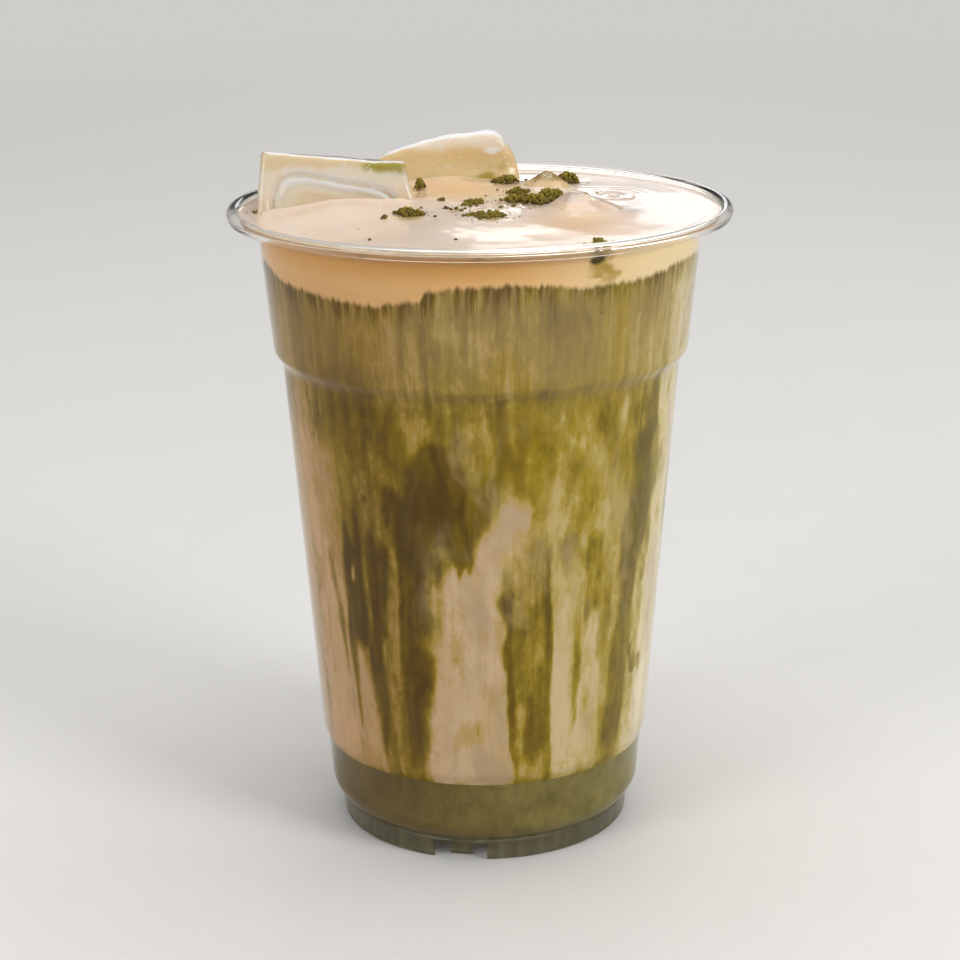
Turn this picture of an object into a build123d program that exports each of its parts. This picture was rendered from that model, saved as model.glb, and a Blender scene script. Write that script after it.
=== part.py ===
"""Iced matcha latte in a clear take-away cup: olive base, marbled latte, cream and ice.

Millimetres, +Z up. The origin is the centre of the foot, on the surface the cup stands on,
and -Y is the side that is usually looked at. Azimuths are measured from -Y towards +X.
"""
import os
from math import atan2, cos, degrees, exp, hypot, radians, sin, tan

from build123d import *

os.makedirs("parts", exist_ok=True)

# ---- cup, outside ----
cup_height = 122.2
mouth_radius = 41.69         # wall just under the flared neck
wall = 0.5
upper_draft = 5.58           # degrees the upper band leans outwards
upper_band_height = 22.26    # neck down to the top of the shoulder
shoulder_height = 3.82
shoulder_inset = 1.71
main_draft = 4.41
step_height = 2.08           # small ledge between the main wall and the base band
step_inset = 0.89
base_draft = 4.74
base_band_height = 8.08
base_corner_height = 4.35    # rounded corner between the base band and the foot
base_corner_inset = 2.04

# ---- neck and lip ----
neck_height = 4.4
lip_overhang = 5.81          # neck wall out to the outermost edge of the lip
lip_width = 2.5
lip_edge_drop = 1.0          # crest down to the outermost edge
lip_inner_drop = 1.2         # crest down to where the flare begins
skirt_height = 1.2
skirt_inset = 0.3

# ---- foot ----
foot_height = 4.4            # also the level of the inside floor
floor_thickness = 0.6
foot_thickness = 1.3
foot_inset = 0.3             # the foot narrows by this much on its way down
notch_count = 3
notch_width = 10.3
notch_height = 3.4
notch_azimuth = -10.0
lug_width = 4.4
lug_thickness = 1.0
lug_clearance = 0.4          # lug stops this far above the table and inside the ring

# ---- contents ----
base_layer_depth = 12.4      # inside floor up to the marbled latte
cream_edge_drop = 2.0        # lip crest down to the cream where it meets the flare
cream_dome = 1.5
cream_thickness = 8.2        # mean depth of the cream's lower edge below its upper edge
# lower edge of the cream: azimuth in degrees and how far it hangs below (-) or stops above its mean
cream_fringe = [(-180, 0.6), (-150, -0.8), (-120, 0.9), (-95, 1.6), (-70, 1.8), (-55, -1.1),
                (-40, -1.3), (-27, -1.9), (-15, -0.1), (-7, 2.3), (7, 2.7), (27, 1.4),
                (47, 1.5), (68, 2.6), (95, 1.0), (125, -0.6), (155, 1.1)]
# soft swells of the cream's surface round the ice: x, y, height, spread
cream_swells = [(-26.0, -8.0, 1.5, 8.0), (-10.0, -1.0, 0.6, 7.0), (-6.0, 21.0, 1.6, 8.0),
                (16.5, -12.0, 1.9, 6.0), (12.0, 13.0, 1.9, 5.5), (10.0, 34.0, 1.0, 9.0),
                (28.0, 16.0, 0.5, 9.0), (-20.0, 22.0, 0.8, 8.0)]
surface_step = 5.0           # spacing of the sections that shape the cream
headroom = 20.0              # how far over the lip the ice may stand

# ---- ice: width, depth, height, then its centre below the lip crest and its turns ----
ice_fillet = 2.0
ice_left_size = (30.5, 16.0, 19.0)
ice_left_place = (-25.6, 4.3, -0.9)
ice_left_turn = (-9.0, 4.9, 6.0)
dimple_depth = 1.3
dimple_frame = 3.2
dimple_slope = 25.0          # degrees the hollow's sides lean
ice_back_size = (27.0, 15.0, 18.0)
ice_back_place = (-6.5, 30.0, -1.9)
ice_back_turn = (-10.0, -12.0, -4.0)
ice_right_size = (14.0, 14.0, 14.0)
ice_right_place = (17.0, -11.5, -7.6)
ice_right_yaw = 20.0
ice_centre_size = (14.0, 14.0, 14.0)
ice_centre_place = (13.0, 11.6, -8.0)
ice_centre_yaw = 50.0
corner_up = (0.0, -54.7, -45.0)   # stands a cube on one corner

# ---- levels and radii that follow ----
neck_level = cup_height - neck_height
shoulder_top = neck_level - upper_band_height
shoulder_bottom = shoulder_top - shoulder_height
base_band_bottom = foot_height + base_corner_height
base_band_top = base_band_bottom + base_band_height
main_bottom = base_band_top + step_height

shoulder_outer = mouth_radius - upper_band_height * tan(radians(upper_draft))
main_top_radius = shoulder_outer - shoulder_inset
main_bottom_radius = main_top_radius - (shoulder_bottom - main_bottom) * tan(radians(main_draft))
base_top_radius = main_bottom_radius - step_inset
base_bottom_radius = base_top_radius - base_band_height * tan(radians(base_draft))
foot_top_radius = base_bottom_radius - base_corner_inset
foot_radius = foot_top_radius - foot_inset

rim_radius = mouth_radius + lip_overhang
flare_end = rim_radius - lip_width
flare_level = cup_height - lip_inner_drop
crest_radius = rim_radius - lip_width / 2
lip_edge_level = cup_height - lip_edge_drop
skirt_level = lip_edge_level - skirt_height
floor_underside = foot_height - floor_thickness

base_layer_top = foot_height + base_layer_depth
cream_edge_level = cup_height - cream_edge_drop
cream_bottom_mean = cream_edge_level - cream_thickness


def wall_stations(inset):
    """Radius and height down the wall's outline, from the neck to the base corner."""
    outline = [(mouth_radius, neck_level), (shoulder_outer, shoulder_top),
               (main_top_radius, shoulder_bottom), (main_bottom_radius, main_bottom),
               (base_top_radius, base_band_top), (base_bottom_radius, base_band_bottom)]
    return [(radius - inset, level) for radius, level in outline]


def wall_lines(inset, corner_end):
    """The wall's outline in the XZ plane from neck to floor, with rounded shoulder and base corner."""
    neck, shoulder_high, shoulder_low, main_low, base_high, base_low = wall_stations(inset)
    lean = (-sin(radians(upper_draft)), -cos(radians(upper_draft)))
    Line(neck, shoulder_high)
    Bezier(shoulder_high, (shoulder_high[0] + lean[0], shoulder_high[1] + lean[1]),
           (shoulder_low[0], shoulder_low[1] + shoulder_height / 2), shoulder_low)
    Line(shoulder_low, main_low)
    Line(main_low, base_high)
    Line(base_high, base_low)
    Bezier(base_low, (base_low[0], (base_low[1] + corner_end[1]) / 2), corner_end)


def flare_lines(start, end):
    """The neck's curve from the upright wall out to the lip."""
    Bezier(start, (start[0] + 0.1 * (end[0] - start[0]), start[1] + 0.6 * (end[1] - start[1])), end)


def inside_face():
    """Half section of everything that the cup can hold, carried straight up past the lip."""
    neck_inside = (mouth_radius - wall, neck_level)
    corner_end = (foot_top_radius - wall, foot_height)
    top = cup_height + headroom
    with BuildSketch(Plane.XZ) as section:
        with BuildLine():
            wall_lines(wall, corner_end)
            flare_lines(neck_inside, (flare_end, flare_level))
            Polyline((flare_end, flare_level), (flare_end, top), (0, top), (0, foot_height), corner_end)
        make_face()
    return section.sketch


def fringe(azimuth):
    """Offset of the cream's lower edge at an azimuth, eased between the listed places."""
    ring = cream_fringe + [(cream_fringe[0][0] + 360, cream_fringe[0][1])]
    for (low, start), (high, end) in zip(ring, ring[1:]):
        if low <= azimuth <= high:
            share = (azimuth - low) / (high - low)
            return start + (end - start) * share * share * (3 - 2 * share)
    return ring[0][1]


def cream_bottom(x, y):
    """Height of the boundary between the latte and the cream."""
    azimuth = degrees(atan2(x, -y))
    return cream_bottom_mean + fringe(azimuth) * (hypot(x, y) / mouth_radius) ** 2


def cream_top(x, y):
    """Height of the cream's open surface: a low dome with swells round the ice."""
    out = hypot(x, y) / flare_end
    height = cream_edge_level + cream_dome * (1 - out ** 2)
    for centre_x, centre_y, swell, spread in cream_swells:
        near = ((x - centre_x) ** 2 + (y - centre_y) ** 2) / spread ** 2
        height += swell * exp(-near) * (1 - out ** 4)
    return height


def space_under(surface):
    """A block from below the foot up to a height function of x and y, lofted front to back."""
    steps = int(2 * rim_radius / surface_step) + 2
    reach = surface_step * (steps - 1) / 2
    ticks = [surface_step * step - reach for step in range(steps)]
    with BuildPart() as block:
        for y in ticks:
            with BuildSketch(Plane.XZ.offset(-y)):
                with BuildLine():
                    top = Spline([(x, surface(x, y)) for x in ticks])
                    Polyline(top @ 1, (reach, -foot_height), (-reach, -foot_height), top @ 0)
                make_face()
        loft()
    return block.part


def ice_block(size, place, turn, yaw=0.0):
    """A rounded cube of ice, turned and then yawed, and trimmed where the cup's wall stops it."""
    x, y, drop = place
    upright = Location((x, y, cup_height + drop), (0, 0, yaw))
    with BuildPart() as block:
        with Locations(upright * Location((0, 0, 0), turn)):
            Box(*size)
        fillet(block.edges(), radius=ice_fillet)
        add(inside.part, mode=Mode.INTERSECT)
    return block.part


# ---- the room inside the cup, used to shape what it holds ----
with BuildPart() as inside:
    add(inside_face())
    revolve(axis=Axis.Z)

# ---- cup: thin revolved wall, rolled lip, floor, and a notched foot ring ----
neck_outside = (mouth_radius, neck_level)
neck_inside = (mouth_radius - wall, neck_level)
flare_under = (flare_end + wall / 2, flare_level - wall)
crest_under = (crest_radius, cup_height - wall)
edge_under = (rim_radius - wall, lip_edge_level - wall / 2)

with BuildPart() as cup:
    with BuildSketch(Plane.XZ) as cup_section:
        with BuildLine():
            wall_lines(0, (foot_top_radius, foot_height))
            Polyline((foot_top_radius, foot_height), (foot_radius, 0), (foot_radius - foot_thickness, 0),
                     (foot_top_radius - foot_thickness, floor_underside), (0, floor_underside),
                     (0, foot_height), (foot_top_radius - wall, foot_height))
            wall_lines(wall, (foot_top_radius - wall, foot_height))
            flare_lines(neck_inside, (flare_end, flare_level))
            ThreePointArc((flare_end, flare_level), (crest_radius, cup_height), (rim_radius, lip_edge_level))
            Polyline((rim_radius, lip_edge_level), (rim_radius - skirt_inset, skirt_level),
                     (rim_radius - skirt_inset - wall, skirt_level), edge_under)
            ThreePointArc(edge_under, crest_under, flare_under)
            flare_lines(neck_outside, flare_under)
        make_face()
    revolve(axis=Axis.Z)
    # air notches through the foot ring, evenly spaced
    notch_plane = Plane.XY.rotated((0, 0, notch_azimuth))
    with BuildSketch(notch_plane) as notches:
        with PolarLocations(foot_radius - foot_thickness / 2, notch_count, start_angle=-90):
            Rectangle(4 * foot_thickness, notch_width)
    extrude(amount=notch_height, mode=Mode.SUBTRACT)
    # a small lug behind each notch, hanging from the floor
    lug_radius = foot_radius - foot_thickness - lug_clearance - lug_thickness / 2
    with BuildSketch(Plane.XY.offset(lug_clearance).rotated((0, 0, notch_azimuth))) as lugs:
        with PolarLocations(lug_radius, notch_count, start_angle=-90):
            RectangleRounded(lug_thickness, lug_width, lug_thickness / 3)
    extrude(amount=floor_underside - lug_clearance)
cup.part.label = "cup"
export_step(cup.part, "parts/cup.step")

# ---- ice standing out of the cream ----
with BuildPart() as ice_left:
    add(ice_block(ice_left_size, ice_left_place, ice_left_turn))
    # shallow hollow in the front face, leaving a frame round it
    left_x, left_y, left_drop = ice_left_place
    left_centre = Location((left_x, left_y, cup_height + left_drop), ice_left_turn)
    front_face = Plane(left_centre * Location((0, -ice_left_size[1] / 2, 0), (90, 0, 0)))
    with BuildSketch(front_face):
        RectangleRounded(ice_left_size[0] - 2 * dimple_frame, ice_left_size[2] - 2 * dimple_frame,
                         ice_fillet)
    extrude(amount=-dimple_depth, taper=dimple_slope, mode=Mode.SUBTRACT)
ice_left.part.label = "ice_left"
export_step(ice_left.part, "parts/ice_left.step")

with BuildPart() as ice_back:
    add(ice_block(ice_back_size, ice_back_place, ice_back_turn))
ice_back.part.label = "ice_back"
export_step(ice_back.part, "parts/ice_back.step")

with BuildPart() as ice_right:
    add(ice_block(ice_right_size, ice_right_place, corner_up, ice_right_yaw))
ice_right.part.label = "ice_right"
export_step(ice_right.part, "parts/ice_right.step")

with BuildPart() as ice_centre:
    add(ice_block(ice_centre_size, ice_centre_place, corner_up, ice_centre_yaw))
ice_centre.part.label = "ice_centre"
export_step(ice_centre.part, "parts/ice_centre.step")

ices = [ice_left.part, ice_back.part, ice_right.part, ice_centre.part]

# ---- drink: plain olive base, marbled latte, and cream on top ----
under_cream = space_under(cream_bottom)
under_surface = space_under(cream_top)

with BuildPart() as base_layer:
    add(inside.part)
    split(bisect_by=Plane.XY.offset(base_layer_top), keep=Keep.BOTTOM)
base_layer.part.label = "base_layer"
export_step(base_layer.part, "parts/base_layer.step")

with BuildPart() as latte:
    add(inside.part)
    split(bisect_by=Plane.XY.offset(base_layer_top), keep=Keep.TOP)
    add(under_cream, mode=Mode.INTERSECT)
    add(ices, mode=Mode.SUBTRACT)
latte.part.label = "latte"
export_step(latte.part, "parts/latte.step")

with BuildPart() as cream:
    add(inside.part)
    add(under_surface, mode=Mode.INTERSECT)
    add(under_cream, mode=Mode.SUBTRACT)
    add(ices, mode=Mode.SUBTRACT)
cream.part.label = "cream"
export_step(cream.part, "parts/cream.step")
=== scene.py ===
from functools import reduce
from math import cos, pi, radians, sin, sqrt, tan

import bmesh
import bpy
import numpy as np
from mathutils import Matrix, Vector


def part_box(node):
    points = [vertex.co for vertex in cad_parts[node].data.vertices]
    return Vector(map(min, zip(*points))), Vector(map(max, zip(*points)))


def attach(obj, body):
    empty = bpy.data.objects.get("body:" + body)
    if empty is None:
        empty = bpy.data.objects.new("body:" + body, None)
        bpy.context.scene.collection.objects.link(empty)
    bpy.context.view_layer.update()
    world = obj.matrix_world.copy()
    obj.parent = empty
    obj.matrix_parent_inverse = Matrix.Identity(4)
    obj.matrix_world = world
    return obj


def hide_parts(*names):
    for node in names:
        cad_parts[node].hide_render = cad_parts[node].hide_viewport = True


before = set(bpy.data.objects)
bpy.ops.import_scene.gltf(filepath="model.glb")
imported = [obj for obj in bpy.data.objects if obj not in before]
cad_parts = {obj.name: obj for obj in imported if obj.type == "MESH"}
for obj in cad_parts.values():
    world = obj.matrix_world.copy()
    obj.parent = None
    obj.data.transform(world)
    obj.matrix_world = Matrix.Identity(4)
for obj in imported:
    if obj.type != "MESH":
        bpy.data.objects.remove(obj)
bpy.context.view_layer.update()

# All lengths are millimetres in the frame of the CAD model, and MM turns them into metres; only the
# lamps and the coordinates inside materials are given in metres.
# Azimuths are degrees, 0 at the front (-Y) and growing towards +X.
MM = 0.001

# ---- sizes of the cup, the same as in the CAD model ----
cup_low, cup_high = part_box("cup")
cup_height = cup_high.z / MM
rim_radius = (cup_high.x - cup_low.x) / 2 / MM
wall = 0.5
lip_overhang = 5.81
mouth_radius = rim_radius - lip_overhang
upper_draft = 5.58
upper_band_height = 22.26
shoulder_height = 3.82
shoulder_inset = 1.71
main_draft = 4.41
step_height = 2.08
step_inset = 0.89
base_draft = 4.74
base_band_height = 8.08
base_corner_height = 4.35
base_corner_inset = 2.04
neck_height = 4.4
lip_width = 2.5
lip_edge_drop = 1.0
lip_inner_drop = 1.2
skirt_height = 1.2
skirt_inset = 0.3
foot_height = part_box("base_layer")[0].z / MM
floor_thickness = 0.6
foot_thickness = 1.3
foot_inset = 0.3
notch_count = 3
notch_width = 10.3
notch_height = 3.4
notch_azimuth = -10.0
lug_width = 4.4
lug_thickness = 1.0
lug_clearance = 0.4

neck_level = cup_height - neck_height
shoulder_top = neck_level - upper_band_height
shoulder_bottom = shoulder_top - shoulder_height
base_band_bottom = foot_height + base_corner_height
base_band_top = base_band_bottom + base_band_height
main_bottom = base_band_top + step_height
shoulder_outer = mouth_radius - upper_band_height * tan(radians(upper_draft))
main_top_radius = shoulder_outer - shoulder_inset
main_bottom_radius = main_top_radius - (shoulder_bottom - main_bottom) * tan(radians(main_draft))
base_top_radius = main_bottom_radius - step_inset
base_bottom_radius = base_top_radius - base_band_height * tan(radians(base_draft))
foot_top_radius = base_bottom_radius - base_corner_inset
foot_radius = foot_top_radius - foot_inset
flare_end = rim_radius - lip_width
flare_level = cup_height - lip_inner_drop
crest_radius = rim_radius - lip_width / 2
lip_edge_level = cup_height - lip_edge_drop
skirt_level = lip_edge_level - skirt_height
floor_underside = foot_height - floor_thickness

# ---- levels of the drink ----
base_layer_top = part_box("base_layer")[1].z / MM
cream_edge_level = cup_height - 1.35
cream_dome = 1.5
reach = 0.15                 # the drink reaches this far into the wall, so that no air gap shows
around = 480                 # vertices round the drink
feathered = 1.5              # the latte's wall goes on this far above the cream's edge, painted as cream
overlap = 0.1                # and from there the latte reaches this far up into the cream
flow_radius = 40             # the threads in the latte are laid out at one radius, so they run straight
wall_azimuths = np.linspace(-180, 180, around, endpoint=False)


# ---- helpers ----
def smooth(share):
    """The share, held between 0 and 1 and eased at both ends."""
    share = np.clip(share, 0.0, 1.0)
    return share * share * (3.0 - 2.0 * share)


def mix(start, end, share):
    return start + (end - start) * share


def lattice(cells, seed):
    """A repeatable random value from 0 to 1 for each whole-number cell."""
    x, y, z = (cells[:, axis].astype(np.int64) for axis in range(3))
    mixed = (x * 374761393 + y * 668265263 + z * 2147483647 + seed * 1274126177) & 0xFFFFFFFF
    mixed = ((mixed ^ (mixed >> 13)) * 1274126177) & 0xFFFFFFFF
    return ((mixed ^ (mixed >> 16)) & 0xFFFF) / 65535.0


def value_noise(points, seed):
    """Smooth noise from -1 to 1 at an array of points."""
    floor = np.floor(points)
    share = smooth(points - floor)
    total = np.zeros(len(points))
    for corner in np.ndindex(2, 2, 2):
        weight = np.prod(np.where(np.array(corner) == 1, share, 1 - share), axis=1)
        total += weight * lattice(floor + corner, seed)
    return 2 * total - 1


def fractal(points, octaves, seed):
    """Layered noise from about -1 to 1."""
    total, size, most = np.zeros(len(points)), 1.0, 0.0
    for octave in range(octaves):
        total += size * value_noise(points * 2 ** octave, seed + octave)
        most += size
        size /= 2
    return total / most


def bezier(points, count):
    """Points along a curve with two or three control points between its ends."""
    shares = np.linspace(0, 1, count)[:, None]
    curve = [np.array(point, float)[None, :] for point in points]
    while len(curve) > 1:
        curve = [mix(low, high, shares) for low, high in zip(curve, curve[1:])]
    return curve[0]


def arc_through(start, middle, end, count):
    """Points along the circle through three points of the section, met in clockwise order."""
    (ax, ay), (bx, by), (cx, cy) = start, middle, end
    d = 2 * (ax * (by - cy) + bx * (cy - ay) + cx * (ay - by))
    a2, b2, c2 = ax * ax + ay * ay, bx * bx + by * by, cx * cx + cy * cy
    ux = (a2 * (by - cy) + b2 * (cy - ay) + c2 * (ay - by)) / d
    uy = (a2 * (cx - bx) + b2 * (ax - cx) + c2 * (bx - ax)) / d
    centre = complex(ux, uy)
    radius = abs(complex(*start) - centre)
    turns = [np.angle(complex(*point) - centre) for point in (start, middle, end)]
    while turns[1] > turns[0]:
        turns[1] -= 2 * pi
    while turns[2] > turns[1]:
        turns[2] -= 2 * pi
    angles = np.linspace(turns[0], turns[2], count)
    return np.stack([ux + radius * np.cos(angles), uy + radius * np.sin(angles)], 1)


def mesh_piece(name, points, faces, smooth_angle=40):
    """A mesh object from points in millimetres."""
    mesh = bpy.data.meshes.new(name)
    mesh.from_pydata((np.asarray(points) * MM).tolist(), [], [list(map(int, face)) for face in faces])
    mesh.update()
    mesh.shade_smooth()
    mesh.set_sharp_from_angle(angle=radians(smooth_angle))
    piece = bpy.data.objects.new(name, mesh)
    bpy.context.scene.collection.objects.link(piece)
    return piece


def face_outwards(piece):
    """Turns the faces of a closed mesh so that they all look out of it."""
    shape = bmesh.new()
    shape.from_mesh(piece.data)
    bmesh.ops.recalc_face_normals(shape, faces=shape.faces)
    shape.to_mesh(piece.data)
    shape.free()


def points_and_faces(shape):
    """Points and faces of a bmesh, which isn't needed any more."""
    shape.verts.index_update()
    points = np.array([vertex.co for vertex in shape.verts])
    faces = np.array([[vertex.index for vertex in face.verts] for face in shape.faces])
    shape.free()
    return points, faces


def round_axis(radius, azimuths, levels):
    """Points at a radius from the axis; squeezed levels make noise run up and down."""
    turn = np.radians(azimuths)
    return np.stack([radius * np.sin(turn), -radius * np.cos(turn), levels], 1)


def ring_points(radii, levels, segments):
    """Rings of points, one for each radius and level."""
    turns = np.linspace(0, 2 * pi, segments, endpoint=False)
    return np.concatenate([np.stack([radius * np.sin(turns), -radius * np.cos(turns),
                                     np.full(segments, level)], 1) for radius, level in zip(radii, levels)])


def band(low, high, segments):
    """Quads between two rings of points, whose first points are low and high."""
    return [(low + step, low + (step + 1) % segments, high + (step + 1) % segments, high + step)
            for step in range(segments)]


def ring_faces(rings, segments):
    """Quads between neighbouring rings."""
    starts = range(0, rings * segments, segments)
    return [quad for low, high in zip(starts, starts[1:]) for quad in band(low, high, segments)]


def fan(ring, centre, segments, upwards):
    """Triangles from a ring of points, whose first point is ring, to a centre point."""
    faces = [(ring + step, ring + (step + 1) % segments, centre) for step in range(segments)]
    return faces if upwards else [(second, first, last) for first, second, last in faces]


def set_attribute(piece, name, values, rest=0.0):
    """Values for the first points of a piece; any other points take rest."""
    padded = np.full(len(piece.data.vertices), rest, np.float32)
    padded[:len(values)] = values
    piece.data.attributes.new(name, "FLOAT", "POINT").data.foreach_set("value", padded)


def hill(x, centre_x, wide, y=0.0, centre_y=0.0, deep=1.0):
    """A soft hill, 1 high at its centre, or a ridge when only x is given."""
    return np.exp(-((x - centre_x) / wide) ** 2 - ((y - centre_y) / deep) ** 2)


def hills(x, y, places):
    """The highest of some soft hills, each given as centre x and y, spread in x and y, and height."""
    return np.max([height * hill(x, centre_x, wide, y, centre_y, deep)
                   for centre_x, centre_y, wide, deep, height in places], axis=0)


def linear(red, green, blue):
    """A colour given as 0 to 255 display values, as the shader wants it."""
    def one(value):
        value = value / 255
        return value / 12.92 if value <= 0.04045 else ((value + 0.055) / 1.055) ** 2.4
    return (one(red), one(green), one(blue), 1.0)


# ---- outline of the wall ----
def wall_outline(inset):
    """Radius and level from the neck down to the floor's corner, shoulder and corner rounded."""
    stations = [(mouth_radius, neck_level), (shoulder_outer, shoulder_top),
                (main_top_radius, shoulder_bottom), (main_bottom_radius, main_bottom),
                (base_top_radius, base_band_top), (base_bottom_radius, base_band_bottom),
                (foot_top_radius, foot_height)]
    neck, high, low, main_low, base_high, base_low, corner = [(r - inset, z) for r, z in stations]
    lean = (high[0] - sin(radians(upper_draft)), high[1] - cos(radians(upper_draft)))
    shoulder = bezier([high, lean, (low[0], low[1] + shoulder_height / 2), low], 14)
    rounded = bezier([base_low, (base_low[0], (base_low[1] + corner[1]) / 2), corner], 12)
    return np.concatenate([[neck], shoulder, [main_low], [base_high], rounded])


def flare_outline(start, end):
    """The neck's curve from the upright wall out to the lip."""
    control = (start[0] + 0.1 * (end[0] - start[0]), start[1] + 0.6 * (end[1] - start[1]))
    return bezier([start, control, end], 14)


def inside_radius(levels):
    """Radius of the cup's inner surface at an array of levels."""
    side = np.concatenate([flare_outline((mouth_radius - wall, neck_level), (flare_end, flare_level))[::-1],
                           wall_outline(wall)[1:]])
    return np.interp(levels, side[::-1, 1], side[::-1, 0])


# ---- material helpers ----
evenly = (1, 1, 1)


class Nodes:
    """Short names for making and linking shader nodes."""

    def __init__(self, name, tree=None):
        if tree is None:
            self.material = bpy.data.materials.new(name)
            self.material.use_nodes = True
            tree = self.material.node_tree
            tree.nodes.clear()
        self.tree = tree

    def add(self, kind, inputs=None, **settings):
        node = self.tree.nodes.new(kind)
        for key, value in settings.items():
            setattr(node, key, value)
        for key, value in (inputs or {}).items():
            self.put(node.inputs[key], value)
        return node

    def put(self, socket, value):
        if isinstance(value, bpy.types.NodeSocket):
            self.tree.links.new(value, socket)
        else:
            socket.default_value = value

    def math(self, operation, first, second=0.0):
        return self.add("ShaderNodeMath", {0: first, 1: second}, operation=operation).outputs[0]

    def times(self, first, second):
        return self.math("MULTIPLY", first, second)

    def plus(self, total, value, size):
        """total + value * size"""
        return self.add("ShaderNodeMath", {0: value, 1: size, 2: total}, operation="MULTIPLY_ADD").outputs[0]

    def vary(self, total, noise, size):
        """total, moved up and down by a noise that runs from 0 to 1."""
        return self.plus(total, self.math("SUBTRACT", noise, 0.5), size)

    def blend(self, share, first, second):
        """A mix of two colours, each a socket or display values from 0 to 255."""
        first, second = (linear(*one) if isinstance(one, tuple) else one for one in (first, second))
        return self.add("ShaderNodeMix", {0: share, 6: first, 7: second}, data_type="RGBA").outputs[2]

    def paint(self, colour, over, *shares):
        """Lays a second colour over the first, as strongly as the product of the shares."""
        return self.blend(reduce(self.times, shares), colour, over)

    def span(self, value, low, high, to_low=0.0, to_high=1.0):
        node = self.add("ShaderNodeMapRange", {0: value, 1: low, 2: high, 3: to_low, 4: to_high},
                        interpolation_type="SMOOTHSTEP")
        return node.outputs[0]

    def noise(self, where, scale, detail=3.0, roughness=0.55, distortion=0.0):
        """Noise over a vector socket, or over the object's place stretched by three numbers."""
        vector = self.place(where) if isinstance(where, tuple) else where
        inputs = {"Vector": vector, "Scale": scale, "Detail": detail, "Roughness": roughness,
                  "Distortion": distortion}
        return self.add("ShaderNodeTexNoise", inputs).outputs["Fac"]

    def cells(self, scale):
        """Distance to the nearest of some scattered points."""
        return self.add("ShaderNodeTexVoronoi", {"Vector": self.place(evenly), "Scale": scale},
                        feature="F1").outputs["Distance"]

    def ragged(self, name, noise, size, low, high, most=1.0):
        """How strongly an attribute shows, with its edge broken up by a noise."""
        return self.span(self.vary(self.attribute(name), noise, size), low, high, 0.0, most)

    def attribute(self, name):
        return self.add("ShaderNodeAttribute", attribute_name=name).outputs["Fac"]

    def where(self):
        """Object coordinates in metres."""
        return self.add("ShaderNodeTexCoord").outputs["Object"]

    def along(self, axis):
        return self.add("ShaderNodeSeparateXYZ", {0: self.where()}).outputs[axis]

    def place(self, stretch):
        return self.add("ShaderNodeMapping", {"Vector": self.where(), "Scale": stretch}).outputs[0]

    def ramp(self, value, stops):
        """Colours for a value: positions and display values from 0 to 255."""
        node = self.add("ShaderNodeValToRGB", {0: value})
        node.color_ramp.interpolation = "EASE"
        elements = node.color_ramp.elements
        while len(elements) < len(stops):
            elements.new(0.5)
        for element, (position, colour) in zip(elements, stops):
            element.position = position
            element.color = linear(*colour)
        return node.outputs[0]

    def bump(self, height, strength, distance):
        return self.add("ShaderNodeBump", {"Strength": strength, "Distance": distance * MM,
                                           "Height": height}).outputs[0]

    def principled(self, colour, roughness, ior=1.5, **more):
        """The main shader; the words of a further input's name are joined by underscores."""
        inputs = {name.replace("_", " "): value for name, value in more.items()}
        inputs.update({"Base Color": colour, "Roughness": roughness, "IOR": ior})
        return self.add("ShaderNodeBsdfPrincipled", inputs).outputs[0]

    def mix_shaders(self, share, first, second):
        return self.add("ShaderNodeMixShader", {0: share, 1: first, 2: second}).outputs[0]

    def finish(self, shader):
        self.add("ShaderNodeOutputMaterial", {"Surface": shader})
        return self.material


def clear_shader(nodes, colour, roughness, ior, normal):
    """A clear shader that lets lamps through to what it holds."""
    glass = nodes.principled(colour, roughness, ior, Transmission_Weight=1, Normal=normal)
    through = nodes.add("ShaderNodeBsdfTransparent", {"Color": (0.96, 0.96, 0.95, 1)}).outputs[0]
    is_shadow = nodes.add("ShaderNodeLightPath").outputs["Is Shadow Ray"]
    return nodes.mix_shaders(is_shadow, glass, through)


# ---- camera, lights, floor ----
camera_distance = 427.96     # in front of the cup's axis
camera_height = 197.28
camera_aside = -0.43
camera_pitch = 16.874
camera_roll = -0.543
camera_lens = 86.04


def make_camera():
    camera = bpy.data.objects.new("camera", bpy.data.cameras.new("camera"))
    camera.data.lens = camera_lens
    camera.data.sensor_width = 36.0
    camera.data.clip_start = 0.01
    turn = Matrix.Rotation(radians(90 - camera_pitch), 4, "X")
    turn = turn @ Matrix.Rotation(radians(camera_roll), 4, "Z")
    place = Vector((camera_aside, -camera_distance, camera_height)) * MM
    camera.matrix_world = Matrix.Translation(place) @ turn
    bpy.context.scene.collection.objects.link(camera)
    bpy.context.scene.camera = camera


def area_light(name, place, aim, size, power):
    data = bpy.data.lights.new(name, "AREA")
    data.shape = "RECTANGLE"
    data.size, data.size_y = size
    data.energy = power
    lamp = bpy.data.objects.new(name, data)
    lamp.location = place
    lamp.rotation_euler = (Vector(aim) - Vector(place)).to_track_quat("-Z", "Y").to_euler()
    bpy.context.scene.collection.objects.link(lamp)


def backdrop_share(nodes):
    """1 for the rays that show the backdrop: straight from the camera, or on through the plastic."""
    path = nodes.add("ShaderNodeLightPath")
    unscattered = nodes.math("LESS_THAN", path.outputs["Diffuse Depth"], 0.5)
    inside = nodes.math("GREATER_THAN", path.outputs["Transmission Depth"], 0.5)
    turned_back = nodes.times(path.outputs["Is Glossy Ray"], inside)
    through = nodes.math("MAXIMUM", path.outputs["Is Transmission Ray"], turned_back)
    through = nodes.times(through, unscattered)
    return nodes.math("MAXIMUM", path.outputs["Is Camera Ray"], through)


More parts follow.
